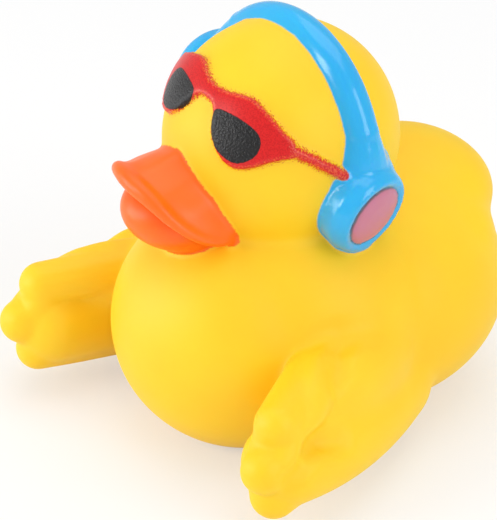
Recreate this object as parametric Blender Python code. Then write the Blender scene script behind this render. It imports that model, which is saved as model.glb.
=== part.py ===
"""Toy duck in sunglasses and headphones: one hollow moulding of soft vinyl.

The forms are laid out as overlapping lumps and melted into one skin in three stages: body and arms, then
bill and wing lobes, then the sunglasses and headphones. The skin is thinned, cut flat at the foot, hollowed
and vented. The duck faces -Y, its left side is +X and the flat foot lies on Z = 0.
"""

import math

import bmesh
import bpy
from mathutils import Matrix, Vector

MM = 0.001

# Head: a ball, turned a little to the duck's right and tilted to its left
HEAD_RADIUS = 22.0 * MM
HEAD_HEIGHT = 57.5 * MM
HEAD_TURN = -5.0
HEAD_TILT = 10.0
NECK_RADIUS = 18.0 * MM

# Body
BODY_WIDTH = 60.0 * MM
BODY_LENGTH = 54.0 * MM
BODY_HEIGHT = 51.0 * MM
CHEST_RADIUS = 23.5 * MM
CHEST_FORWARD = 10.0 * MM
RUMP_WIDTH = 61.5 * MM
RUMP_LENGTH = 60.0 * MM
RUMP_BACK = 17.0 * MM
TAIL_WIDTH = 35.0 * MM
TAIL_BACK = 33.5 * MM
TAIL_HEIGHT = 37.0 * MM
FOOT_CUT = 2.5 * MM

# Wings, swept forward and out, with three lobes each
WING_ROOT_OUT = 23.0 * MM
WING_ROOT_BACK = 6.0 * MM
WING_ROOT_HEIGHT = 13.5 * MM
WING_REACH = 34.6 * MM
WING_OUT = 34.4 * MM
WING_HEIGHT = 17.2 * MM
WING_THICKNESS = 14.5 * MM
WING_BOW = 3.5 * MM
LOBE_RADIUS = 4.3 * MM
LOBE_SPREAD = 7.2 * MM

# Bill, measured from the centre of the head
BILL_TURN = -3.0
BILL_WIDTH = 24.8 * MM
BILL_REACH = 31.6 * MM
BILL_DROP = 11.5 * MM
BILL_HEIGHT = 17.0 * MM
LIP_RADIUS = 1.15 * MM

# Sunglasses, in degrees round and up the ball of the head
LENS_TURN = 25.0
LENS_RISE = 27.0
FRAME_RELIEF = 0.9 * MM
TEMPLE_WIDTH = 2.0 * MM

# Headphones
BAND_WIDTH = 6.6 * MM
BAND_RELIEF = 2.3 * MM
BAND_BACK = 2.4 * MM
CUP_DIAMETER = 17.2 * MM
CUP_FACE = 25.4 * MM
CUP_DROP = 3.0
CUP_TURN = 10.0
PHONES_TILT = 4.0
PAD_DIAMETER = 12.0 * MM

# Moulding
WALL = 2.2 * MM
VENT_DIAMETER = 3.4 * MM
GRAIN = 0.7 * MM
SKIN_TRIANGLES = 9800
CORE_TRIANGLES = 2000

VINYL = (1.0, 0.63, 0.035)
DEGREE = math.radians(1)


def mesh_of(bm, name):
    mesh = bpy.data.meshes.new(name)
    bm.to_mesh(mesh)
    bm.free()
    return mesh


def placed(mesh, name):
    obj = bpy.data.objects.new(name, mesh)
    bpy.context.scene.collection.objects.link(obj)
    return obj


def evaluated(obj):
    """The object's mesh with its modifiers applied; the object itself goes."""
    graph = bpy.context.evaluated_depsgraph_get()
    mesh = bpy.data.meshes.new_from_object(obj.evaluated_get(graph))
    bpy.data.objects.remove(obj)
    return mesh


def joined(meshes):
    bm = bmesh.new()
    for mesh in meshes:
        bm.from_mesh(mesh)
    return mesh_of(bm, "joined")


def moved(mesh, matrix):
    copy = mesh.copy()
    copy.transform(matrix)
    if matrix.determinant() < 0:
        copy.flip_normals()
    return copy


def both_sides(meshes):
    flip = Matrix.Diagonal((-1.0, 1.0, 1.0, 1.0))
    return [*meshes, *(moved(mesh, flip) for mesh in meshes)]


def ball(centre, radii, pitch=0.0, yaw=0.0):
    bm = bmesh.new()
    bmesh.ops.create_icosphere(bm, subdivisions=4, radius=1.0)
    turn = Matrix.Rotation(yaw * DEGREE, 4, "Z") @ Matrix.Rotation(pitch * DEGREE, 4, "X")
    place = Matrix.Translation(Vector(centre)) @ turn @ Matrix.Diagonal((*radii, 1.0))
    bmesh.ops.transform(bm, matrix=place, verts=bm.verts)
    return mesh_of(bm, "ball")


def rope(points, radii):
    """Round rope along a smooth line, with its radius given at each point and ball ends."""
    curve = bpy.data.curves.new("rope", "CURVE")
    curve.dimensions = "3D"
    line = curve.splines.new("NURBS")
    line.points.add(len(points) - 1)
    for knot, point, radius in zip(line.points, points, radii):
        knot.co = (*point, 1.0)
        knot.radius = radius
    line.use_endpoint_u = True
    line.order_u = 3
    line.resolution_u = 8
    curve.bevel_depth = 1.0
    curve.bevel_resolution = 5
    curve.use_fill_caps = True
    ends = [ball(points[end], [radii[end]] * 3) for end in (0, -1)]
    return joined([evaluated(placed(curve, "rope")), *ends])


def lathe(profile, turns=48):
    """Solid of revolution about Z through the profile's (radius, height) points."""
    bm = bmesh.new()
    verts = [bm.verts.new((radius, 0, height)) for radius, height in profile]
    edges = [bm.edges.new(pair) for pair in zip(verts, verts[1:])]
    bmesh.ops.spin(bm, geom=verts + edges, axis=(0, 0, 1), angle=math.tau, steps=turns, use_merge=True)
    bmesh.ops.remove_doubles(bm, verts=bm.verts, dist=MM / 100)
    bmesh.ops.recalc_face_normals(bm, faces=bm.faces)
    return mesh_of(bm, "lathe")


def melted(meshes, grain, softness):
    """One skin round all the lumps, its creases softened over about `softness` millimetres."""
    obj = placed(joined(meshes), "skin")
    remesh = obj.modifiers.new("melt", "REMESH")
    remesh.mode = "VOXEL"
    remesh.voxel_size = grain
    smooth = obj.modifiers.new("soften", "SMOOTH")
    smooth.factor = 0.5
    smooth.iterations = max(1, round((softness * MM / grain) ** 2))
    return evaluated(obj)


def thinned(mesh, triangles):
    obj = placed(mesh, "thin")
    decimate = obj.modifiers.new("thin", "DECIMATE")
    mesh.calc_loop_triangles()
    decimate.ratio = min(1.0, triangles / len(mesh.loop_triangles))
    return evaluated(obj)


def block(size, centre):
    bm = bmesh.new()
    bmesh.ops.create_cube(bm, size=1.0)
    place = Matrix.Translation(centre) @ Matrix.Diagonal((*size, 1.0))
    bmesh.ops.transform(bm, matrix=place, verts=bm.verts)
    return mesh_of(bm, "block")


def carved(mesh, cutters):
    obj = placed(mesh, "carved")
    tools = [placed(cutter, "cutter") for cutter in cutters]
    for tool in tools:
        cut = obj.modifiers.new("cut", "BOOLEAN")
        cut.operation = "DIFFERENCE"
        cut.solver = "EXACT"
        cut.object = tool
    mesh = evaluated(obj)
    for tool in tools:
        bpy.data.objects.remove(tool)
    return mesh


def head_frame():
    """Turn and tilt of the head about its own centre."""
    turn = Matrix.Rotation(HEAD_TURN * DEGREE, 4, "Z") @ Matrix.Rotation(HEAD_TILT * DEGREE, 4, "Y")
    return Matrix.Translation((0, 0, HEAD_HEIGHT)) @ turn


def on_head(turn, rise, radius):
    """Point at an angle round from the front of the head and up from its middle."""
    level = math.cos(rise * DEGREE)
    across, ahead = math.sin(turn * DEGREE) * level, math.cos(turn * DEGREE) * level
    return radius * Vector((across, -ahead, math.sin(rise * DEGREE)))


def head_patch(outline, low, high, grain):
    """Plate with a smooth outline in (turn, rise), wrapped round the head between two radii."""
    arc = HEAD_RADIUS * DEGREE
    curve = bpy.data.curves.new("patch", "CURVE")
    curve.dimensions = "2D"
    curve.fill_mode = "BOTH"
    curve.extrude = (high - low) / 2
    line = curve.splines.new("BEZIER")
    line.bezier_points.add(len(outline) - 1)
    for knot, (turn, rise) in zip(line.bezier_points, outline):
        knot.co = (turn * arc, rise * arc, 0)
        knot.handle_left_type = knot.handle_right_type = "AUTO"
    line.use_cyclic_u = True
    plate = melted([evaluated(placed(curve, "patch"))], min(grain, (high - low) / 3), grain / MM)
    for vert in plate.vertices:
        across, up, out = vert.co
        vert.co = on_head(across / arc, up / arc, (low + high) / 2 + out)
    return plate


def body_forms(inset=0.0):
    """Belly, chest, rump, tail, neck and head."""
    wide, long, high = BODY_WIDTH / 2, BODY_LENGTH / 2, BODY_HEIGHT / 2
    tail = TAIL_WIDTH / 2
    forms = [
        ((0, 0, high * 0.98), (wide, long, high)),
        ((0, -CHEST_FORWARD, CHEST_RADIUS * 0.97), (CHEST_RADIUS * 1.05, CHEST_RADIUS, CHEST_RADIUS)),
        ((0, RUMP_BACK, high * 0.91), (RUMP_WIDTH / 2, RUMP_LENGTH / 2, high * 0.94)),
        ((0, TAIL_BACK, TAIL_HEIGHT), (tail, tail * 0.84, tail * 0.6)),
        ((0, TAIL_BACK * 0.86, TAIL_HEIGHT * 0.87), (tail * 1.38, tail * 0.82, tail * 0.72)),
        ((0, 0, HEAD_HEIGHT - HEAD_RADIUS * 0.7), (NECK_RADIUS, NECK_RADIUS, NECK_RADIUS * 0.5)),
        ((0, 0, HEAD_HEIGHT), (HEAD_RADIUS * 0.965, HEAD_RADIUS, HEAD_RADIUS)),
    ]
    return [ball(centre, [radius - inset for radius in radii]) for centre, radii in forms]


def wing_line():
    root = Vector((WING_ROOT_OUT, WING_ROOT_BACK, WING_ROOT_HEIGHT))
    tip = Vector((WING_OUT, -WING_REACH, WING_HEIGHT))
    return root, tip


def arm_forms(inset=0.0):
    """Shoulder and arm of the left wing."""
    root, tip = wing_line()
    thick = WING_THICKNESS / 2 - inset
    middle = root.lerp(tip, 0.45) + Vector((WING_BOW, 0, -WING_BOW * 0.6))
    palm = root.lerp(tip, 0.85 - 4 * inset / WING_REACH) - Vector((0, 0, WING_BOW * 0.4))
    shoulder = root.lerp(tip, 0.34) + Vector((0, 0, WING_THICKNESS * 0.53))
    return [
        rope([root, middle, palm], [thick * 1.15, thick * 1.2, thick * 1.08]),
        ball(shoulder, (thick * 1.1, thick * 2.5, thick * 1.25), yaw=13),
    ]


def wing_lobes():
    """Three feathers of the left wing on a thin palm; the top one starts as a knob on the shoulder."""
    root, tip = wing_line()
    inner = Vector((-LOBE_RADIUS * 0.25, 0, 0))
    web = [
        root.lerp(tip, share) + inner + Vector((0, 0, LOBE_SPREAD * rise))
        for share, rise in ((0.88, 1), (0.93, 0.5), (0.98, 0))
    ]
    middle = root.lerp(tip, 0.74) + Vector((MM, 0, MM))
    palm = ball(middle, (LOBE_RADIUS * 1.08, WING_REACH * 0.3, LOBE_SPREAD * 1.25), yaw=13)
    lobes = [palm, rope(web, [LOBE_RADIUS * 0.8] * 3)]
    feathers = (
        (0.52, (-0.5, 0, 1.42), 0.9, 1.02),
        (0.55, (0, 0, 0), 1.0, 0),
        (0.55, (0, 0, -0.8), 0.93, -0.87),
    )
    for start, aside, reach, rise in feathers:
        knob = root.lerp(tip, start) + LOBE_SPREAD * Vector(aside)
        end = root.lerp(tip, reach) + LOBE_SPREAD * Vector((0, 0, rise))
        lobes.append(rope([knob, knob.lerp(end, 0.6), end], [LOBE_RADIUS, LOBE_RADIUS * 1.05, LOBE_RADIUS]))
    return lobes


def wing_dent(grain):
    """Hollow in the outer face of the left wing, behind the feather tips."""
    root, tip = wing_line()
    out, up = Vector((LOBE_RADIUS, 0, 0)), Vector((0, 0, LOBE_SPREAD))
    line = [
        root.lerp(tip, 0.62) + out * 1.9 + up * 0.4,
        root.lerp(tip, 0.84) + out * 1.45 + up * 0.65,
        root.lerp(tip, 0.95) + out * 1.15,
    ]
    return melted([rope(line, [LOBE_RADIUS * 0.35, LOBE_RADIUS * 0.8, LOBE_RADIUS * 0.45])], grain, 0.8)


def upper_bill(lip):
    """Upper bill: hollow-backed strips from its edge on the head out to the lip line."""
    wide, drop = BILL_WIDTH / 2, BILL_DROP
    edge = [(0.91, -0.98), (0.94, -0.72), (0.84, -0.5), (0.73, -0.25), (0.42, 0.02), (0, 0.26)]
    edge = [*edge, *((-x, z) for x, z in reversed(edge[:-1]))]
    middle = Vector((0, -BILL_REACH * 0.5, -drop * 0.6))
    bm = bmesh.new()
    rings = []
    for (x, z), out in zip(edge, lip):
        brow = Vector((x * wide, 0, z * drop))
        brow.y = -math.sqrt(HEAD_RADIUS**2 - brow.x**2 - brow.z**2) * 0.985
        out = out + Vector((0, 0, LIP_RADIUS * (0.8 if z > -0.1 else 0)))
        hollow = brow.lerp(out, 0.55)
        hollow += (hollow - middle).normalized() * (LIP_RADIUS * (0.5 if z < 0 else -0.4))
        under = out.lerp(middle, 0.3) - Vector((0, 0, LIP_RADIUS))
        rings.append([bm.verts.new(point) for point in (brow * 0.7, brow, hollow, out, under)])
    for ring, after in zip(rings, rings[1:]):
        for i in range(len(ring)):
            bm.faces.new((ring[i - 1], ring[i], after[i], after[i - 1]))
    bm.faces.new(rings[0])
    bm.faces.new(rings[-1])
    bmesh.ops.recalc_face_normals(bm, faces=bm.faces)
    return mesh_of(bm, "bill")


def bill_forms(grain):
    """Upper and lower bill with the curled lip between them, in the frame of the head."""
    wide, reach, drop = BILL_WIDTH / 2, BILL_REACH, BILL_DROP
    half = [
        (wide * 0.8, -reach * 0.42, -drop),
        (wide * 0.98, -reach * 0.56, -drop * 0.93),
        (wide, -reach * 0.74, -drop * 0.74),
        (wide * 0.8, -reach * 0.89, -drop * 0.44),
        (wide * 0.42, -reach * 0.97, -drop * 0.16),
    ]
    other_half = [(-x, y, z) for x, y, z in reversed(half)]
    line = [Vector(point) for point in (*half, (0, -reach, -drop * 0.1), *other_half)]
    thick = [0.7, 0.75, 0.8, 1.0, 1.4, 1.6, 1.4, 1.0, 0.8, 0.75, 0.7]
    lip = rope(line, [LIP_RADIUS * share for share in thick])
    jaw = (wide * 0.81, reach * 0.375, BILL_HEIGHT * 0.4)
    lower = ball((0, -reach * 0.63, -drop * 0.88), jaw, pitch=-6)
    turn = Matrix.Rotation(BILL_TURN * DEGREE, 4, "Z")
    return [moved(form, turn) for form in (lip, melted([upper_bill(line)], grain, 2.2), lower)]


def frame_outline():
    """Front of the sunglasses in (turn, rise), its right half mirrored from its left."""
    left = [
        (7, 8), (12, -1), (17, -7), (24, -12), (31, -13), (38, -10.5), (45, -7), (52, -4.5), (57, -3),
        (57, 3), (51, 7.5), (43, 13), (33, 18), (24, 19.5), (9, 17.5),
    ]
    share = LENS_TURN / 25.0
    near = [(turn * share, rise + LENS_RISE) for turn, rise in left]
    far = [(-turn, rise) for turn, rise in reversed(near)]
    return [(0, LENS_RISE + 9.8), *near, (0, LENS_RISE + 16.8), *far]


def sunglasses(grain):
    front = head_patch(frame_outline(), HEAD_RADIUS - MM, HEAD_RADIUS + FRAME_RELIEF, grain)
    level = HEAD_RADIUS + FRAME_RELIEF - TEMPLE_WIDTH / 2
    temple = [on_head(turn, rise, level) for turn, rise in ((54, 27.5), (66, 23), (76, 17.5), (84, 12.5))]
    return [front, *both_sides([rope(temple, [TEMPLE_WIDTH / 2] * 4)])]


def head_band():
    ring = HEAD_RADIUS + BAND_RELIEF - BAND_WIDTH / 2
    steps = [100 * DEGREE * step / 8 for step in range(-8, 9)]
    points = [Vector((ring * math.sin(angle), BAND_BACK, ring * math.cos(angle))) for angle in steps]
    return rope(points, [BAND_WIDTH / 2] * len(points))


def band_flare():
    """Where the band spreads into the left cup."""
    points = []
    radii = []
    for angle, share in ((56, 1.0), (66, 1.35), (76, 2.1), (86, 2.4)):
        radius = BAND_WIDTH / 2 * share
        out = HEAD_RADIUS + BAND_RELIEF + (share - 1) * MM - radius
        points.append(Vector((out * math.sin(angle * DEGREE), BAND_BACK, out * math.cos(angle * DEGREE))))
        radii.append(radius)
    return rope(points, radii)


def cup_place():
    """Middle of the left cup's face, with Z straight out of it."""
    out = on_head(90 + CUP_TURN, -CUP_DROP, 1.0)
    turn = out.to_track_quat("Z", "Y").to_matrix().to_4x4()
    return Matrix.Translation(on_head(90 + CUP_TURN * 0.6, -CUP_DROP, CUP_FACE)) @ turn


def ear_cup():
    """Left ear cup: a round barrel with a domed pad let into its face."""
    rim = CUP_DIAMETER / 2
    pad = PAD_DIAMETER / 2
    profile = [
        (0, -12 * MM),
        (rim * 0.75, -12 * MM),
        (rim * 0.93, -6 * MM),
        (rim, -3 * MM),
        (rim * 0.94, -1 * MM),
        (pad + 1.4 * MM, 0),
        (pad + 0.4 * MM, -0.2 * MM),
        (pad, -1.0 * MM),
        (pad - 0.6 * MM, 0.1 * MM),
        (pad * 0.5, 0.6 * MM),
        (0, 0.8 * MM),
    ]
    return moved(lathe(profile), cup_place())


def headphones():
    """Band and both cups in the frame of the head, sitting a little askew on it."""
    askew = Matrix.Rotation(PHONES_TILT * DEGREE, 4, "Y")
    return [moved(mesh, askew) for mesh in (head_band(), *both_sides([band_flare(), ear_cup()]))]


def skin(grain):
    """The whole outside, before it is cut and hollowed."""
    head = head_frame()
    form = melted([*body_forms(), *both_sides(arm_forms())], grain, 4.5)
    bill = [moved(mesh, head) for mesh in bill_forms(grain)]
    form = melted([form, *both_sides(wing_lobes()), *bill], grain, 1.4)
    form = carved(form, both_sides([wing_dent(grain)]))
    dressing = [*sunglasses(grain), *headphones()]
    return melted([form, *(moved(mesh, head) for mesh in dressing)], grain, 0.8)


def seat(mesh):
    """Move the foot to Z = 0 and the middle of the outline to the origin."""
    low = Vector([min(vert.co[axis] for vert in mesh.vertices) for axis in range(3)])
    high = Vector([max(vert.co[axis] for vert in mesh.vertices) for axis in range(3)])
    middle = (low + high) / 2
    mesh.transform(Matrix.Translation((-middle.x, -middle.y, -low.z)))


def main():
    for obj in list(bpy.data.objects):
        bpy.data.objects.remove(obj)
    outside = thinned(skin(GRAIN), SKIN_TRIANGLES)
    hollow = thinned(melted([*body_forms(WALL), *both_sides(arm_forms(WALL))], GRAIN, 4.5), CORE_TRIANGLES)
    bore = VENT_DIAMETER / 2
    vent = lathe([(0, -CHEST_RADIUS), (bore, -CHEST_RADIUS), (bore, CHEST_RADIUS), (0, CHEST_RADIUS)], 24)
    span = BODY_LENGTH * 4
    floor = block((span, span, span), Vector((0, 0, FOOT_CUT - span / 2)))
    core_floor = block((span, span, span), Vector((0, 0, FOOT_CUT + WALL - span / 2)))
    hollow = carved(hollow, [core_floor])
    duck = placed(carved(outside, [floor, hollow, vent]), "duck")
    seat(duck.data)
    paint = bpy.data.materials.new("vinyl")
    paint.use_nodes = True
    paint.node_tree.nodes["Principled BSDF"].inputs["Base Color"].default_value = (*VINYL, 1)
    duck.data.materials.clear()
    duck.data.materials.append(paint)
    for face in duck.data.polygons:
        face.use_smooth = True
    duck.data.set_sharp_from_angle(angle=50 * DEGREE)


if __name__ == "__main__":
    main()
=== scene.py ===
"""Looks of the toy duck: a fine skin for the one moulding, painted where the real one is sprayed."""

import math

import bmesh
import bpy
import numpy as np
from mathutils import Matrix, Vector
from mathutils.bvhtree import BVHTree


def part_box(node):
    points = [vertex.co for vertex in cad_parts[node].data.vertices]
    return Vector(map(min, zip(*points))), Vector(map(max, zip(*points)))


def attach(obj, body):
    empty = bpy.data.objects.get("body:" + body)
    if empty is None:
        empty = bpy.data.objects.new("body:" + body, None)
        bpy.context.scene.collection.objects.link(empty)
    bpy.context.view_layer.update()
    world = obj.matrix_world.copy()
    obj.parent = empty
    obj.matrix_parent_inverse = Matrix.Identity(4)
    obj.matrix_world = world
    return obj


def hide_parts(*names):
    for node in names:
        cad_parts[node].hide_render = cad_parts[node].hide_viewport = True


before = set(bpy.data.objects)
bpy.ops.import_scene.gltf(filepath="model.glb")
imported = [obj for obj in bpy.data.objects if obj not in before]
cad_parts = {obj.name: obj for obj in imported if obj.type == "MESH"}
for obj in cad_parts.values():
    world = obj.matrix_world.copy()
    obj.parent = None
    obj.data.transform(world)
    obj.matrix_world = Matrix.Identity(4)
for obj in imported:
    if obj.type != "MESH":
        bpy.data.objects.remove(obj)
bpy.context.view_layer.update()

MM = 0.001
DEGREE = math.radians(1)

# Head: a ball, turned a little to the duck's right and tilted to its left
HEAD_RADIUS = 22.0 * MM
HEAD_HEIGHT = 57.5 * MM
HEAD_TURN = -5.0
HEAD_TILT = 10.0
NECK_RADIUS = 18.0 * MM

# Body
BODY_WIDTH = 60.0 * MM
BODY_LENGTH = 54.0 * MM
BODY_HEIGHT = 51.0 * MM
CHEST_RADIUS = 23.5 * MM
CHEST_FORWARD = 10.0 * MM
RUMP_WIDTH = 61.5 * MM
RUMP_LENGTH = 60.0 * MM
RUMP_BACK = 17.0 * MM
TAIL_WIDTH = 35.0 * MM
TAIL_BACK = 33.5 * MM
TAIL_HEIGHT = 37.0 * MM
FOOT_CUT = 2.5 * MM

# Wings, swept forward and out, with three lobes each
WING_ROOT_OUT = 23.0 * MM
WING_ROOT_BACK = 6.0 * MM
WING_ROOT_HEIGHT = 13.5 * MM
WING_REACH = 34.6 * MM
WING_OUT = 34.4 * MM
WING_HEIGHT = 17.2 * MM
WING_THICKNESS = 14.5 * MM
WING_BOW = 3.5 * MM
LOBE_RADIUS = 4.3 * MM
LOBE_SPREAD = 7.2 * MM

# Bill, measured from the centre of the head
BILL_TURN = -3.0
BILL_WIDTH = 24.8 * MM
BILL_REACH = 31.6 * MM
BILL_DROP = 11.5 * MM
BILL_HEIGHT = 17.0 * MM
LIP_RADIUS = 1.15 * MM

# Sunglasses, in degrees round and up the ball of the head
LENS_TURN = 25.0
LENS_RISE = 27.0
FRAME_RELIEF = 0.9 * MM
TEMPLE_WIDTH = 2.0 * MM

# Headphones
BAND_WIDTH = 6.6 * MM
BAND_RELIEF = 2.3 * MM
BAND_BACK = 2.4 * MM
CUP_DIAMETER = 17.2 * MM
CUP_FACE = 25.4 * MM
CUP_DROP = 3.0
CUP_TURN = 10.0
PHONES_TILT = 4.0
PAD_DIAMETER = 12.0 * MM

# Moulding
WALL = 2.2 * MM
VENT_DIAMETER = 3.4 * MM

# Fine skin, and the coarser grain of the forms that only the paint is measured from
FINE = 0.42 * MM
COARSE = 0.5 * MM
FINE_TRIANGLES = 150000

# Fold at the front of each wing, in millimetres
FINGER_LINE = ((28.3, -16.4, 26.2), (34.6, -25.0, 25.2), (35.2, -31.8, 18.6))
FINGER_RADII = (4.3, 3.8, 3.9)

# Soft creases round the knob of each wing, then the hollow in its outer face, in millimetres:
# the radius of a stroke and its points as (x, y, z, depth)
WING_STROKES = (
    (3.4, (
        (29.6, -8.5, 31.0, -0.3), (29.6, -12.8, 30.4, -1.5), (31.6, -15.0, 28.8, -1.6),
        (33.4, -18.4, 27.4, -0.8), (33.8, -21.0, 27.0, 0.0),
    )),
    (4.5, ((24.5, -12.2, 30.0, -0.8), (27.0, -10.6, 31.2, -1.0), (29.0, -7.0, 31.0, -0.4))),
    (3.8, (
        (37.0, -27.6, 20.8, -2.0), (37.4, -24.0, 20.0, -2.6), (38.0, -20.5, 18.8, -1.7),
        (38.6, -17.0, 18.0, 0.0),
    )),
    (3.2, ((37.6, -28.0, 18.8, -1.6), (38.2, -30.6, 17.6, -1.4), (38.8, -32.6, 16.9, -0.6))),
)

# Paint: how far each coat spreads past its form, the temple's painted line in (turn, rise), and the
# depth beyond which a point counts as far from the paint
FRAME_SPREAD = 0.15 * MM
BILL_SPREAD = 0.45 * MM
PHONES_SPREAD = 0.35 * MM
TEMPLE_PAINT = ((54, 27.5), (66, 23), (76, 17.5), (86, 11.5))
FAR = 5 * MM

# Colours, as a pair where a coat has two tones
YELLOW = ((0.97, 0.59, 0.010), (0.97, 0.635, 0.014))
ORANGE = ((0.97, 0.135, 0.001), (0.97, 0.17, 0.003))
RED = ((0.55, 0.003, 0.004), (0.70, 0.010, 0.010))
RED_GRAIN = (0.58, 0.02, 0.012)
BARE_GRAIN = (0.92, 0.20, 0.03)
BLACK = (0.004, 0.0035, 0.004)
BLUE = ((0.010, 0.38, 0.78), (0.020, 0.44, 0.82))
BLUE_DUST = (0.30, 0.42, 0.26)
SPECK = (0.02, 0.05, 0.10)
PINK = (0.56, 0.19, 0.28)
# painted shade: the dark teal of the shadowed recess round each pad
RECESS_SHADE = (0.01, 0.06, 0.08)

# Studio
FLOOR_HALF = 1.6
PAPER_WHITENING = 0.45
LAMP_AIM = (0, 0, 0.04)

# Camera, and where the photograph has the middle of the head
CAMERA_AZIMUTH = 48.5
CAMERA_RISE = 28.5
CAMERA_FAR = 0.450
SENSOR = 36
PHOTO_WIDTH, PHOTO_HEIGHT = 497, 520
HEAD_PIXEL = (281, 135)
PIXELS_PER_METRE = 5540.0


def mesh_of(bm, name):
    mesh = bpy.data.meshes.new(name)
    bm.to_mesh(mesh)
    bm.free()
    return mesh


def placed(mesh, name):
    obj = bpy.data.objects.new(name, mesh)
    bpy.context.scene.collection.objects.link(obj)
    return obj


def evaluated(obj):
    """The object's mesh with its modifiers applied; the object itself goes."""
    graph = bpy.context.evaluated_depsgraph_get()
    mesh = bpy.data.meshes.new_from_object(obj.evaluated_get(graph))
    bpy.data.objects.remove(obj)
    return mesh


def joined(meshes):
    bm = bmesh.new()
    for mesh in meshes:
        bm.from_mesh(mesh)
    return mesh_of(bm, "joined")


def moved(mesh, matrix):
    copy = mesh.copy()
    copy.transform(matrix)
    if matrix.determinant() < 0:
        copy.flip_normals()
    return copy


def both_sides(meshes):
    flip = Matrix.Diagonal((-1.0, 1.0, 1.0, 1.0))
    return [*meshes, *(moved(mesh, flip) for mesh in meshes)]


def ball(centre, radii, pitch=0.0, yaw=0.0):
    bm = bmesh.new()
    bmesh.ops.create_icosphere(bm, subdivisions=4, radius=1.0)
    turn = Matrix.Rotation(yaw * DEGREE, 4, "Z") @ Matrix.Rotation(pitch * DEGREE, 4, "X")
    place = Matrix.Translation(Vector(centre)) @ turn @ Matrix.Diagonal((*radii, 1.0))
    bmesh.ops.transform(bm, matrix=place, verts=bm.verts)
    return mesh_of(bm, "ball")


def rope(points, radii):
    """Round rope along a smooth line, with its radius given at each point and ball ends."""
    curve = bpy.data.curves.new("rope", "CURVE")
    curve.dimensions = "3D"
    line = curve.splines.new("NURBS")
    line.points.add(len(points) - 1)
    for knot, point, radius in zip(line.points, points, radii):
        knot.co = (*point, 1.0)
        knot.radius = radius
    line.use_endpoint_u = True
    line.order_u = 3
    line.resolution_u = 8
    curve.bevel_depth = 1.0
    curve.bevel_resolution = 5
    curve.use_fill_caps = True
    ends = [ball(points[end], [radii[end]] * 3) for end in (0, -1)]
    return joined([evaluated(placed(curve, "rope")), *ends])


def lathe(profile, turns=48):
    """Solid of revolution about Z through the profile's (radius, height) points."""
    bm = bmesh.new()
    verts = [bm.verts.new((radius, 0, height)) for radius, height in profile]
    edges = [bm.edges.new(pair) for pair in zip(verts, verts[1:])]
    bmesh.ops.spin(bm, geom=verts + edges, axis=(0, 0, 1), angle=math.tau, steps=turns, use_merge=True)
    bmesh.ops.remove_doubles(bm, verts=bm.verts, dist=MM / 100)
    bmesh.ops.recalc_face_normals(bm, faces=bm.faces)
    return mesh_of(bm, "lathe")


def melted(meshes, grain, softness):
    """One skin round all the lumps, its creases softened over about `softness` millimetres."""
    obj = placed(joined(meshes), "skin")
    remesh = obj.modifiers.new("melt", "REMESH")
    remesh.mode = "VOXEL"
    remesh.voxel_size = grain
    smooth = obj.modifiers.new("soften", "SMOOTH")
    smooth.factor = 0.5
    smooth.iterations = max(1, round((softness * MM / grain) ** 2))
    return evaluated(obj)


def thinned(mesh, triangles):
    obj = placed(mesh, "thin")
    decimate = obj.modifiers.new("thin", "DECIMATE")
    mesh.calc_loop_triangles()
    decimate.ratio = min(1.0, triangles / len(mesh.loop_triangles))
    return evaluated(obj)


def block(size, centre):
    bm = bmesh.new()
    bmesh.ops.create_cube(bm, size=1.0)
    place = Matrix.Translation(centre) @ Matrix.Diagonal((*size, 1.0))
    bmesh.ops.transform(bm, matrix=place, verts=bm.verts)
    return mesh_of(bm, "block")


def carved(mesh, cutters):
    obj = placed(mesh, "carved")
    tools = [placed(cutter, "cutter") for cutter in cutters]
    for tool in tools:
        cut = obj.modifiers.new("cut", "BOOLEAN")
        cut.operation = "DIFFERENCE"
        cut.solver = "EXACT"
        cut.object = tool
    mesh = evaluated(obj)
    for tool in tools:
        bpy.data.objects.remove(tool)
    return mesh


def head_frame():
    """Turn and tilt of the head about its own centre."""
    turn = Matrix.Rotation(HEAD_TURN * DEGREE, 4, "Z") @ Matrix.Rotation(HEAD_TILT * DEGREE, 4, "Y")
    return Matrix.Translation((0, 0, HEAD_HEIGHT)) @ turn


def on_head(turn, rise, radius):
    """Point at an angle round from the front of the head and up from its middle."""
    level = math.cos(rise * DEGREE)
    across, ahead = math.sin(turn * DEGREE) * level, math.cos(turn * DEGREE) * level
    return radius * Vector((across, -ahead, math.sin(rise * DEGREE)))


def head_patch(outline, low, high, grain):
    """Plate with a smooth outline in (turn, rise), wrapped round the head between two radii."""
    arc = HEAD_RADIUS * DEGREE
    curve = bpy.data.curves.new("patch", "CURVE")
    curve.dimensions = "2D"
    curve.fill_mode = "BOTH"
    curve.extrude = (high - low) / 2
    line = curve.splines.new("BEZIER")
    line.bezier_points.add(len(outline) - 1)
    for knot, (turn, rise) in zip(line.bezier_points, outline):
        knot.co = (turn * arc, rise * arc, 0)
        knot.handle_left_type = knot.handle_right_type = "AUTO"
    line.use_cyclic_u = True
    plate = melted([evaluated(placed(curve, "patch"))], min(grain, (high - low) / 3), grain / MM)
    for vert in plate.vertices:
        across, up, out = vert.co
        vert.co = on_head(across / arc, up / arc, (low + high) / 2 + out)
    return plate


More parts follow.
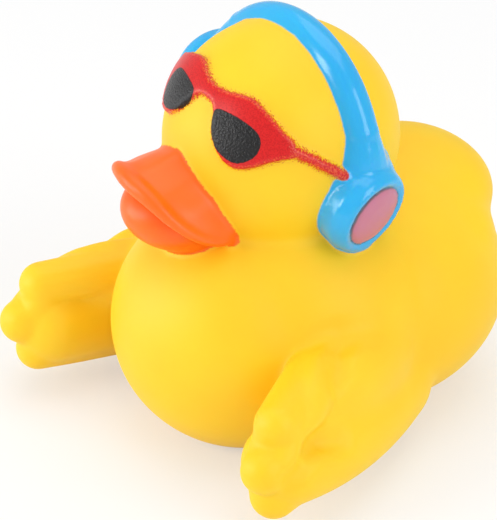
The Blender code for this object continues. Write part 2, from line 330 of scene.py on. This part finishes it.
def body_forms():
    """Belly, chest, rump, tail, neck and head."""
    wide, long, high = BODY_WIDTH / 2, BODY_LENGTH / 2, BODY_HEIGHT / 2
    tail = TAIL_WIDTH / 2
    forms = [
        ((0, 0, high * 0.98), (wide, long, high)),
        ((0, -CHEST_FORWARD, CHEST_RADIUS * 0.97), (CHEST_RADIUS * 1.05, CHEST_RADIUS, CHEST_RADIUS)),
        ((0, RUMP_BACK, high * 0.91), (RUMP_WIDTH / 2, RUMP_LENGTH / 2, high * 0.94)),
        ((0, TAIL_BACK, TAIL_HEIGHT), (tail, tail * 0.84, tail * 0.6)),
        ((0, TAIL_BACK * 0.86, TAIL_HEIGHT * 0.87), (tail * 1.38, tail * 0.82, tail * 0.72)),
        ((0, 0, HEAD_HEIGHT - HEAD_RADIUS * 0.7), (NECK_RADIUS, NECK_RADIUS, NECK_RADIUS * 0.5)),
        ((0, 0, HEAD_HEIGHT), (HEAD_RADIUS * 0.965, HEAD_RADIUS, HEAD_RADIUS)),
    ]
    return [ball(centre, radii) for centre, radii in forms]


def wing_line():
    root = Vector((WING_ROOT_OUT, WING_ROOT_BACK, WING_ROOT_HEIGHT))
    tip = Vector((WING_OUT, -WING_REACH, WING_HEIGHT))
    return root, tip


def arm_forms():
    """Shoulder and arm of the left wing."""
    root, tip = wing_line()
    thick = WING_THICKNESS / 2
    middle = root.lerp(tip, 0.45) + Vector((WING_BOW, 0, -WING_BOW * 0.6))
    palm = root.lerp(tip, 0.85) - Vector((0, 0, WING_BOW * 0.4))
    shoulder = root.lerp(tip, 0.34) + Vector((0, 0, WING_THICKNESS * 0.53))
    return [
        rope([root, middle, palm], [thick * 1.15, thick * 1.2, thick * 1.08]),
        ball(shoulder, (thick * 1.1, thick * 2.5, thick * 1.25), yaw=13),
    ]


def wing_lobes():
    """Three feathers of the left wing on a thin palm; the top one starts as a knob on the shoulder."""
    root, tip = wing_line()
    inner = Vector((-LOBE_RADIUS * 0.25, 0, 0))
    web = [
        root.lerp(tip, share) + inner + Vector((0, 0, LOBE_SPREAD * rise))
        for share, rise in ((0.88, 1), (0.93, 0.5), (0.98, 0))
    ]
    middle = root.lerp(tip, 0.74) + Vector((MM, 0, MM))
    palm = ball(middle, (LOBE_RADIUS * 1.08, WING_REACH * 0.3, LOBE_SPREAD * 1.25), yaw=13)
    lobes = [palm, rope(web, [LOBE_RADIUS * 0.8] * 3)]
    feathers = (
        (0.52, (-0.5, 0, 1.42), 0.9, 1.02),
        (0.55, (0, 0, 0), 1.0, 0),
        (0.55, (0, 0, -0.8), 0.93, -0.87),
    )
    for start, aside, reach, rise in feathers:
        knob = root.lerp(tip, start) + LOBE_SPREAD * Vector(aside)
        end = root.lerp(tip, reach) + LOBE_SPREAD * Vector((0, 0, rise))
        lobes.append(rope([knob, knob.lerp(end, 0.6), end], [LOBE_RADIUS, LOBE_RADIUS * 1.05, LOBE_RADIUS]))
    return lobes


def upper_bill(lip):
    """Upper bill: hollow-backed strips from its edge on the head out to the lip line."""
    wide, drop = BILL_WIDTH / 2, BILL_DROP
    edge = [(0.91, -0.98), (0.94, -0.72), (0.84, -0.5), (0.73, -0.25), (0.42, 0.02), (0, 0.26)]
    edge = [*edge, *((-x, z) for x, z in reversed(edge[:-1]))]
    middle = Vector((0, -BILL_REACH * 0.5, -drop * 0.6))
    bm = bmesh.new()
    rings = []
    for (x, z), out in zip(edge, lip):
        brow = Vector((x * wide, 0, z * drop))
        brow.y = -math.sqrt(HEAD_RADIUS**2 - brow.x**2 - brow.z**2) * 0.985
        out = out + Vector((0, 0, LIP_RADIUS * (0.8 if z > -0.1 else 0)))
        hollow = brow.lerp(out, 0.55)
        hollow += (hollow - middle).normalized() * (LIP_RADIUS * (0.5 if z < 0 else -0.4))
        under = out.lerp(middle, 0.3) - Vector((0, 0, LIP_RADIUS))
        rings.append([bm.verts.new(point) for point in (brow * 0.7, brow, hollow, out, under)])
    for ring, after in zip(rings, rings[1:]):
        for i in range(len(ring)):
            bm.faces.new((ring[i - 1], ring[i], after[i], after[i - 1]))
    bm.faces.new(rings[0])
    bm.faces.new(rings[-1])
    bmesh.ops.recalc_face_normals(bm, faces=bm.faces)
    return mesh_of(bm, "bill")


def bill_forms(grain):
    """Upper and lower bill with the curled lip between them, in the frame of the head."""
    wide, reach, drop = BILL_WIDTH / 2, BILL_REACH, BILL_DROP
    half = [
        (wide * 0.8, -reach * 0.42, -drop),
        (wide * 0.98, -reach * 0.56, -drop * 0.93),
        (wide, -reach * 0.74, -drop * 0.74),
        (wide * 0.8, -reach * 0.89, -drop * 0.44),
        (wide * 0.42, -reach * 0.97, -drop * 0.16),
    ]
    other_half = [(-x, y, z) for x, y, z in reversed(half)]
    line = [Vector(point) for point in (*half, (0, -reach, -drop * 0.1), *other_half)]
    thick = [0.7, 0.75, 0.8, 1.0, 1.4, 1.6, 1.4, 1.0, 0.8, 0.75, 0.7]
    lip = rope(line, [LIP_RADIUS * share for share in thick])
    jaw = (wide * 0.81, reach * 0.375, BILL_HEIGHT * 0.4)
    lower = ball((0, -reach * 0.63, -drop * 0.88), jaw, pitch=-6)
    turn = Matrix.Rotation(BILL_TURN * DEGREE, 4, "Z")
    return [moved(form, turn) for form in (lip, melted([upper_bill(line)], grain, 3.0), lower)]


def frame_outline():
    """Front of the sunglasses in (turn, rise), its right half mirrored from its left."""
    left = [
        (7, 8), (12, -1), (17, -7), (24, -12), (31, -13), (38, -10.5), (45, -7), (52, -4.5), (57, -3),
        (57, 3), (51, 7.5), (43, 13), (33, 18), (24, 19.5), (9, 17.5),
    ]
    share = LENS_TURN / 25.0
    near = [(turn * share, rise + LENS_RISE) for turn, rise in left]
    far = [(-turn, rise) for turn, rise in reversed(near)]
    return [(0, LENS_RISE + 9.8), *near, (0, LENS_RISE + 16.8), *far]


def sunglasses(grain):
    front = head_patch(frame_outline(), HEAD_RADIUS - MM, HEAD_RADIUS + FRAME_RELIEF, grain)
    level = HEAD_RADIUS + FRAME_RELIEF - TEMPLE_WIDTH / 2
    temple = [on_head(turn, rise, level) for turn, rise in ((54, 27.5), (66, 23), (76, 17.5), (84, 12.5))]
    return [front, *both_sides([rope(temple, [TEMPLE_WIDTH / 2] * 4)])]


def head_band():
    ring = HEAD_RADIUS + BAND_RELIEF - BAND_WIDTH / 2
    steps = [100 * DEGREE * step / 8 for step in range(-8, 9)]
    points = [Vector((ring * math.sin(angle), BAND_BACK, ring * math.cos(angle))) for angle in steps]
    return rope(points, [BAND_WIDTH / 2] * len(points))


def band_flare():
    """Where the band spreads into the left cup."""
    points = []
    radii = []
    for angle, share in ((56, 1.0), (66, 1.35), (76, 2.1), (86, 2.4)):
        radius = BAND_WIDTH / 2 * share
        out = HEAD_RADIUS + BAND_RELIEF + (share - 1) * MM - radius
        points.append(Vector((out * math.sin(angle * DEGREE), BAND_BACK, out * math.cos(angle * DEGREE))))
        radii.append(radius)
    return rope(points, radii)


def cup_place():
    """Middle of the left cup's face, with Z straight out of it."""
    out = on_head(90 + CUP_TURN, -CUP_DROP, 1.0)
    turn = out.to_track_quat("Z", "Y").to_matrix().to_4x4()
    return Matrix.Translation(on_head(90 + CUP_TURN * 0.6, -CUP_DROP, CUP_FACE)) @ turn


def ear_cup():
    """Left ear cup: a round barrel with a domed pad let into its face."""
    rim = CUP_DIAMETER / 2
    pad = PAD_DIAMETER / 2
    profile = [
        (0, -12 * MM),
        (rim * 0.75, -12 * MM),
        (rim * 0.93, -6 * MM),
        (rim, -3 * MM),
        (rim * 0.94, -1 * MM),
        (pad + 1.4 * MM, 0),
        (pad + 0.4 * MM, -0.2 * MM),
        (pad, -1.0 * MM),
        (pad - 0.6 * MM, 0.1 * MM),
        (pad * 0.5, 0.6 * MM),
        (0, 0.8 * MM),
    ]
    return moved(lathe(profile), cup_place())


def headphones():
    """Band and both cups in the frame of the head, sitting a little askew on it."""
    askew = Matrix.Rotation(PHONES_TILT * DEGREE, 4, "Y")
    return [moved(mesh, askew) for mesh in (head_band(), *both_sides([band_flare(), ear_cup()]))]


def smooth_outline(points, steps=8):
    """Closed Catmull-Rom line through the points, as an array."""
    knots = np.array(points, float)
    line = []
    for i in range(len(knots)):
        a, b, c, d = (knots[(i + k) % len(knots)] for k in (-1, 0, 1, 2))
        first, second, third = c - a, 2 * a - 5 * b + 4 * c - d, 3 * b - a - 3 * c + d
        for s in np.linspace(0, 1, steps, endpoint=False):
            line.append(0.5 * (2 * b + first * s + second * s**2 + third * s**3))
    return np.array(line)


def distance_to(points, a, b):
    """Distance of each point from the straight piece between a and b."""
    along = b - a
    share = np.clip(((points - a) @ along) / max(along @ along, 1e-12), 0, 1)
    return np.linalg.norm(points - a - share[:, None] * along, axis=1)


def inside_depth(points, outline):
    """Distance of each flat point from a closed outline, positive inside."""
    near = np.full(len(points), np.inf)
    odd = np.zeros(len(points), bool)
    for a, b in zip(outline, np.roll(outline, -1, axis=0)):
        near = np.minimum(near, distance_to(points, a, b))
        crosses = (a[1] > points[:, 1]) != (b[1] > points[:, 1])
        where = a[0] + (points[:, 1] - a[1]) * (b[0] - a[0]) / ((b[1] - a[1]) or 1e-12)
        odd ^= crosses & (points[:, 0] < where)
    return np.where(odd, near, -near)


def line_depth(points, line, radius):
    """Depth of each flat point inside a stroke along the line, negative outside."""
    return radius - np.min([distance_to(points, a, b) for a, b in zip(line, line[1:])], axis=0)


def lens_outline():
    """Left lens in (turn, rise)."""
    shape = [
        (-14, 8.5), (-5, 9.3), (4, 8.2), (11.5, 5.6), (14.8, 1.5), (13.5, -4.7), (6.5, -9.8), (-1, -9.6),
        (-8, -6.3), (-13.2, -1.5), (-15.4, 4),
    ]
    return [(LENS_TURN + turn, LENS_RISE + rise) for turn, rise in shape]


def vertex_array(mesh, name):
    flat = np.empty(len(mesh.vertices) * 3)
    mesh.vertices.foreach_get(name, flat)
    return flat.reshape(-1, 3)


def pressed(mesh, strokes):
    """Push the surface in along soft strokes, on both sides of the duck."""
    points, normals = vertex_array(mesh, "co"), vertex_array(mesh, "normal")
    folded = points.copy()
    folded[:, 0] = np.abs(folded[:, 0])
    push = np.zeros(len(points))
    for radius, line in strokes:
        line = np.array(line) * MM
        best = np.zeros(len(points))
        for a, b in zip(line, line[1:]):
            along = b[:3] - a[:3]
            share = np.clip(((folded - a[:3]) @ along) / (along @ along), 0, 1)
            far = np.linalg.norm(folded - a[:3] - share[:, None] * along, axis=1)
            fade = np.clip(1 - far / (radius * MM), 0, 1)
            depth = (a[3] + share * (b[3] - a[3])) * fade**2 * (3 - 2 * fade)
            best = np.where(np.abs(depth) > np.abs(best), depth, best)
        push += best
    mesh.vertices.foreach_set("co", (points + normals * push[:, None]).ravel())
    return mesh


def fine_skin():
    """The moulding at full detail, cut flat at the foot, with its vent."""
    finger = rope(np.array(FINGER_LINE) * MM, [radius * MM for radius in FINGER_RADII])
    head = head_frame()
    form = melted([*body_forms(), *both_sides(arm_forms())], FINE, 4.5)
    bill = [moved(mesh, head) for mesh in bill_forms(FINE)]
    form = melted([form, *both_sides([*wing_lobes(), finger]), *bill], FINE, 1.4)
    form = pressed(form, WING_STROKES)
    dressing = [*sunglasses(FINE), *headphones()]
    form = melted([form, *(moved(mesh, head) for mesh in dressing)], FINE, 0.8)
    span = BODY_LENGTH * 4
    floor = block((span, span, span), Vector((0, 0, FOOT_CUT - span / 2)))
    bore, top = VENT_DIAMETER / 2, FOOT_CUT + WALL
    vent = lathe([(0, -CHEST_RADIUS), (bore, -CHEST_RADIUS), (bore, top), (0, top)], 24)
    return carved(thinned(form, FINE_TRIANGLES), [floor, vent])


def in_frame(points, matrix):
    """The points in the frame of a matrix."""
    return (np.c_[points, np.ones(len(points))] @ np.array(matrix.inverted()).T)[:, :3]


def solid_depth(points, solid, nearby):
    """Depth of the points inside a closed mesh, negative outside; points not nearby are left far out."""
    tree = BVHTree.FromPolygons([v.co for v in solid.vertices], [p.vertices for p in solid.polygons])
    depth = np.full(len(points), -FAR)
    for i in np.nonzero(nearby)[0]:
        place, normal, _, far = tree.find_nearest(Vector(points[i]), FAR)
        if place is not None:
            depth[i] = far if (Vector(points[i]) - place).dot(normal) < 0 else -far
    return depth


def glasses_fields(points, reach):
    """Depth inside the red frame with its temples, and inside the two lenses."""
    turn = np.arctan2(points[:, 0], -points[:, 1])
    rise = np.arcsin(np.clip(points[:, 2] / np.maximum(reach, 1e-9), -1, 1))
    flat = np.c_[turn, rise] * HEAD_RADIUS
    mirrored = flat * np.array([-1.0, 1.0])
    front = smooth_outline(np.radians(frame_outline()) * HEAD_RADIUS)
    temple = np.radians(TEMPLE_PAINT) * HEAD_RADIUS
    lens = smooth_outline(np.radians(lens_outline()) * HEAD_RADIUS)
    red = inside_depth(flat, front) + FRAME_SPREAD
    for side in (flat, mirrored):
        red = np.maximum(red, line_depth(side, temple, TEMPLE_WIDTH * 0.52))
    black = np.maximum(inside_depth(flat, lens), inside_depth(mirrored, lens))
    off_head = (reach < HEAD_RADIUS - 1.5 * MM) | (np.abs(turn) > 1.75)
    red[off_head] = -FAR
    black[off_head] = -FAR
    return {"red": red, "black": black}


def bill_field(points):
    x, y, z = points.T
    nearby = (y < -8 * MM) & (np.abs(x) < 20 * MM) & (z < 12 * MM)
    return {"bill": solid_depth(points, melted(bill_forms(COARSE), COARSE, 1.0), nearby) + BILL_SPREAD}


def phones_field(points, reach):
    """Depth inside the blue, which thins out at the rear edge of the band."""
    x, y, z = points.T
    nearby = (np.abs(y) < 16 * MM) & (reach > HEAD_RADIUS - 4 * MM)
    blue = solid_depth(points, melted(headphones(), COARSE, 1.0), nearby) + PHONES_SPREAD
    blue -= PHONES_SPREAD * np.clip((y - BAND_BACK - 2 * MM) / MM, 0, 1) * (z > 9 * MM)
    outer = (np.abs(y) < 12 * MM) & (np.abs(x) > 14 * MM) & (z > -7 * MM)
    return {"blue": np.where(outer, np.maximum(blue, reach - HEAD_RADIUS - 1.2 * MM), blue)}


def pad_fields(points):
    """Depth inside the pads and inside the painted shade of the recess round them, which is wider at the
    front and top.
    """
    pink = np.full(len(points), -FAR)
    recess_shade = np.full(len(points), -FAR)
    for side in (1, -1):
        place = Matrix.Rotation(PHONES_TILT * DEGREE, 4, "Y") @ Matrix.Diagonal((side, 1, 1, 1)) @ cup_place()
        local = in_frame(points, place)
        out = np.hypot(local[:, 0], local[:, 1])
        face = (local[:, 2] > -2 * MM) & (local[:, 2] < 4 * MM)
        pink = np.maximum(pink, np.where(face, PAD_DIAMETER / 2 - 0.1 * MM - out, -FAR))
        # painted shade: a dark ring where the recess round the pad lies in shadow, wider at the front and top
        middle = place.translation
        front_up = (points[:, 2] - middle.z - points[:, 1] + middle.y) / PAD_DIAMETER
        width = (0.35 + 0.45 * np.clip(front_up, 0, 1)) * MM
        recess_shade = np.maximum(recess_shade, np.where(face, width - np.abs(out - PAD_DIAMETER / 2), -FAR))
    return {"pink": pink, "recess_shade": recess_shade}


def paint_fields(mesh):
    """Give every vertex its depth in millimetres inside each painted area, before the mesh is seated."""
    points = in_frame(vertex_array(mesh, "co"), head_frame())
    reach = np.linalg.norm(points, axis=1)
    fields = glasses_fields(points, reach) | bill_field(points)
    fields |= phones_field(points, reach) | pad_fields(points)
    for name, depth in fields.items():
        layer = mesh.attributes.new("paint_" + name, "FLOAT", "POINT")
        layer.data.foreach_set("value", (np.clip(depth, -FAR, FAR) / MM).astype(np.float32))


class Paint:
    """Small helper that wires the nodes of one material."""

    def __init__(self, name):
        self.material = bpy.data.materials.new(name)
        self.material.use_nodes = True
        self.tree = self.material.node_tree
        self.shader = self.tree.nodes["Principled BSDF"]

    def new(self, kind):
        return self.tree.nodes.new("ShaderNode" + kind)

    def link(self, source, target):
        self.tree.links.new(source, target)

    def feed(self, socket, value):
        """Set a socket to a number or a colour, or link it to another socket."""
        if isinstance(value, (int, float)):
            socket.default_value = value
        elif isinstance(value, tuple):
            socket.default_value = (*value, 1)
        else:
            self.link(value, socket)

    def math(self, kind, *values):
        made = self.new("Math")
        made.operation = kind
        for socket, value in zip(made.inputs, values):
            self.feed(socket, value)
        return made.outputs[0]

    def step(self, value, low, high):
        """0 at low, 1 at high, smooth between."""
        made = self.new("MapRange")
        made.interpolation_type = "SMOOTHSTEP"
        made.inputs["From Min"].default_value = low
        made.inputs["From Max"].default_value = high
        self.link(value, made.inputs["Value"])
        return made.outputs["Result"]

    def mix(self, share, a, b):
        """Colours a and b mixed by share."""
        made = self.new("Mix")
        made.data_type = "RGBA"
        for index, value in ((0, share), (6, a), (7, b)):
            self.feed(made.inputs[index], value)
        return made.outputs[2]

    def blend(self, share, a, b):
        """Numbers a and b mixed by share."""
        made = self.new("Mix")
        for index, value in ((0, share), (2, a), (3, b)):
            self.feed(made.inputs[index], value)
        return made.outputs[0]


class Sprayed(Paint):
    """Vinyl with paint sprayed over it, each edge as ragged as its mask left it."""

    def __init__(self, name):
        super().__init__(name)
        self.where = self.new("TexCoord").outputs["Object"]
        self.fine = self.noise(3600, 2, 0.6)
        self.ragged = self.noise(1500, 3, 0.65)
        self.wander = self.noise(260, 2, 0.5)
        self.tone = self.step(self.noise(45, 2, 0.5), 0.3, 0.7)

    def noise(self, scale, detail, rough):
        made = self.new("TexNoise")
        made.inputs["Scale"].default_value = scale
        made.inputs["Detail"].default_value = detail
        made.inputs["Roughness"].default_value = rough
        self.link(self.where, made.inputs["Vector"])
        return made.outputs["Fac"]

    def field(self, name):
        made = self.new("Attribute")
        made.attribute_name = "paint_" + name
        return made.outputs["Fac"]

    def edge(self, name, rag, drift, grit=0.0):
        """Depth inside a painted area, its edge moved by up to rag, drift and grit millimetres."""
        depth = self.field(name)
        for noise, size in ((self.ragged, rag), (self.wander, drift), (self.fine, grit)):
            depth = self.math("ADD", depth, self.math("MULTIPLY_ADD", noise, size * 2, -size))
        return depth


def bill_coat(p, colour):
    share = p.step(p.edge("bill", 0.3, 0.2, 0.1), -0.12, 0.12)
    return share, p.mix(share, colour, p.mix(p.tone, *ORANGE))


def frame_coat(p, colour):
    """Red with loose grains outside its edge and bare grains just inside it."""
    depth = p.edge("red", 0.15, 0.1)
    loose = p.math("MULTIPLY", p.step(depth, -1.0, 0.1), p.step(p.fine, 0.56, 0.62))
    colour = p.mix(p.math("MULTIPLY", loose, 0.85), colour, RED_GRAIN)
    bare = p.math("MULTIPLY", p.step(depth, 1.1, 0.7), p.step(p.noise(3100, 1, 0.5), 0.5, 0.6))
    tone = p.mix(p.step(p.fine, 0.35, 0.6), *RED)
    tone = p.mix(p.math("MULTIPLY", bare, 0.5), tone, BARE_GRAIN)
    share = p.step(p.edge("red", 0.15, 0.1, 1.3), -0.12, 0.12)
    return share, p.mix(share, colour, tone)


def lens_coat(p, colour):
    share = p.step(p.edge("black", 0.05, 0.05, 0.15), -0.06, 0.06)
    return share, p.mix(share, colour, BLACK)


def phones_coat(p, colour):
    """Blue with overspray outside its edge and a few dark specks."""
    depth = p.edge("blue", 0.06, 0.08)
    dust = p.math("MULTIPLY", p.step(depth, -0.9, 0.0), p.step(p.fine, 0.5, 0.62))
    colour = p.mix(p.math("MULTIPLY", dust, 0.25), colour, BLUE_DUST)
    share = p.step(depth, -0.14, 0.14)
    colour = p.mix(share, colour, p.mix(p.tone, *BLUE))
    cells = p.new("TexVoronoi")
    cells.inputs["Scale"].default_value = 330
    p.link(p.where, cells.inputs["Vector"])
    dots = p.math("LESS_THAN", cells.outputs["Distance"], 0.07)
    specks = p.math("MULTIPLY", p.math("MULTIPLY", dots, p.step(p.wander, 0.6, 0.66)), share)
    return share, p.mix(p.math("MULTIPLY", specks, 0.6), colour, SPECK)


def pad_coat(p, colour):
    """Pink pad with painted shade, a dark ring, in the recess round it."""
    share = p.step(p.edge("pink", 0.02, 0.02), -0.06, 0.06)
    colour = p.mix(share, colour, PINK)
    # painted shade darkens the recess round the pad
    recess_shade = p.step(p.field("recess_shade"), 0.0, 0.4)
    return share, p.mix(p.math("MULTIPLY", recess_shade, 0.8), colour, RECESS_SHADE)


def painted_vinyl():
    """Yellow vinyl with its coats in the order they lie in, each with its own roughness and shine."""
    p = Sprayed("painted_vinyl")
    colour, rough, gloss = p.mix(p.tone, *YELLOW), 0.52, 0.4
    shares = []
    for coat, dull, shine in (
        (bill_coat, 0.38, 0.45), (frame_coat, 0.34, 0.4), (lens_coat, 0.3, 0.45), (phones_coat, 0.17, 0.6),
        (pad_coat, 0.36, 0.5),
    ):
        share, colour = coat(p, colour)
        rough = p.blend(share, rough, dull)
        gloss = p.blend(share, gloss, shine)
        shares.append(share)
    p.link(colour, p.shader.inputs["Base Color"])
    p.link(rough, p.shader.inputs["Roughness"])
    p.link(gloss, p.shader.inputs["Specular IOR Level"])

    bill, red, black, blue, _ = shares
    peel = p.math("MULTIPLY", p.noise(2600, 2, 0.5), p.blend(black, 0.03, 1.0))
    coats = p.math("MULTIPLY", p.math("MAXIMUM", p.math("MAXIMUM", bill, red), blue), 0.25)
    bump = p.new("Bump")
    bump.inputs["Distance"].default_value = 0.22 * MM
    p.link(p.math("ADD", peel, coats), bump.inputs["Height"])
    p.link(bump.outputs["Normal"], p.shader.inputs["Normal"])
    p.shader.inputs["Subsurface Weight"].default_value = 0.2
    p.shader.inputs["Subsurface Radius"].default_value = (1.0, 0.45, 0.1)
    p.shader.inputs["Subsurface Scale"].default_value = 3 * MM
    return p.material


def seated(mesh):
    """Seat the skin on the CAD node's box; gives how far it moved."""
    low, high = (Vector(corner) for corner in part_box("duck"))
    points = vertex_array(mesh, "co")
    mine_low, mine_high = Vector(points.min(axis=0)), Vector(points.max(axis=0))
    shift = (low + high) / 2 - (mine_low + mine_high) / 2
    mesh.transform(Matrix.Translation((shift.x, shift.y, low.z - mine_low.z)))
    return shift


def white_paper():
    """Paper that shows whiter than the duck's yellow bounce leaves it, with the shadow kept."""
    p = Paint("paper")
    p.shader.inputs["Base Color"].default_value = (0.93, 0.93, 0.93, 1)
    p.shader.inputs["Roughness"].default_value = 0.9
    rays, glow, mixed = p.new("LightPath"), p.new("Emission"), p.new("MixShader")
    seen = rays.outputs["Is Camera Ray"]
    for ray in ("Is Glossy Ray", "Is Transmission Ray"):
        seen = p.math("MAXIMUM", seen, rays.outputs[ray])
    p.link(p.math("MULTIPLY", seen, PAPER_WHITENING), mixed.inputs[0])
    p.link(p.shader.outputs[0], mixed.inputs[1])
    p.link(glow.outputs[0], mixed.inputs[2])
    p.link(mixed.outputs[0], p.tree.nodes["Material Output"].inputs["Surface"])
    return p.material


def lamp(name, place, size, power):
    light = bpy.data.lights.new(name, "AREA")
    light.shape = "RECTANGLE"
    light.size, light.size_y = size
    light.energy = power
    obj = bpy.data.objects.new(name, light)
    obj.location = place
    obj.rotation_euler = (Vector(LAMP_AIM) - Vector(place)).to_track_quat("-Z", "Y").to_euler()
    bpy.context.scene.collection.objects.link(obj)


def studio():
    bm = bmesh.new()
    bmesh.ops.create_grid(bm, x_segments=1, y_segments=1, size=FLOOR_HALF)
    floor = placed(mesh_of(bm, "floor"), "floor")
    floor.data.materials.append(white_paper())
    world = bpy.data.worlds.new("studio")
    world.use_nodes = True
    world.node_tree.nodes["Background"].inputs["Color"].default_value = (1, 1, 1, 1)
    world.node_tree.nodes["Background"].inputs["Strength"].default_value = 0.6
    bpy.context.scene.world = world
    lamp("over", (-0.05, 0.10, 0.75), (0.7, 0.7), 1.8)
    lamp("left_window", (-0.20, -0.72, 0.38), (0.22, 0.28), 1.2)
    lamp("right_window", (0.72, 0.05, 0.42), (0.4, 0.6), 2.1)
    lamp("low_left", (-0.50, -0.58, 0.16), (0.5, 0.4), 2.2)


def camera(head_middle):
    """Camera at the photograph's angle, with the middle of the head where the photograph has it."""
    azimuth, rise = CAMERA_AZIMUTH * DEGREE, CAMERA_RISE * DEGREE
    back = Vector((math.sin(azimuth) * math.cos(rise), -math.cos(azimuth) * math.cos(rise), math.sin(rise)))
    right = Vector((math.cos(azimuth), math.sin(azimuth), 0))
    up = back.cross(right)
    lens = bpy.data.cameras.new("camera")
    lens.lens = PIXELS_PER_METRE * CAMERA_FAR / PHOTO_HEIGHT * SENSOR
    lens.clip_start, lens.clip_end = 0.01, 20
    across = (HEAD_PIXEL[0] - PHOTO_WIDTH / 2) / PIXELS_PER_METRE
    rising = (PHOTO_HEIGHT / 2 - HEAD_PIXEL[1]) / PIXELS_PER_METRE
    place = Matrix((right, up, back)).transposed().to_4x4()
    place.translation = head_middle - right * across - up * rising + back * CAMERA_FAR
    obj = bpy.data.objects.new("camera", lens)
    obj.matrix_world = place
    bpy.context.scene.collection.objects.link(obj)
    bpy.context.scene.camera = obj


mesh = fine_skin()
paint_fields(mesh)
shift = seated(mesh)
duck = placed(mesh, "duck_skin")
mesh.materials.clear()
mesh.materials.append(painted_vinyl())
mesh.polygons.foreach_set("use_smooth", [True] * len(mesh.polygons))
mesh.set_sharp_from_angle(angle=60 * DEGREE)
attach(duck, "root")
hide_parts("duck")
studio()
camera(Vector((shift.x, shift.y, HEAD_HEIGHT - FOOT_CUT)))
bpy.context.scene.view_settings.view_transform = "Standard"
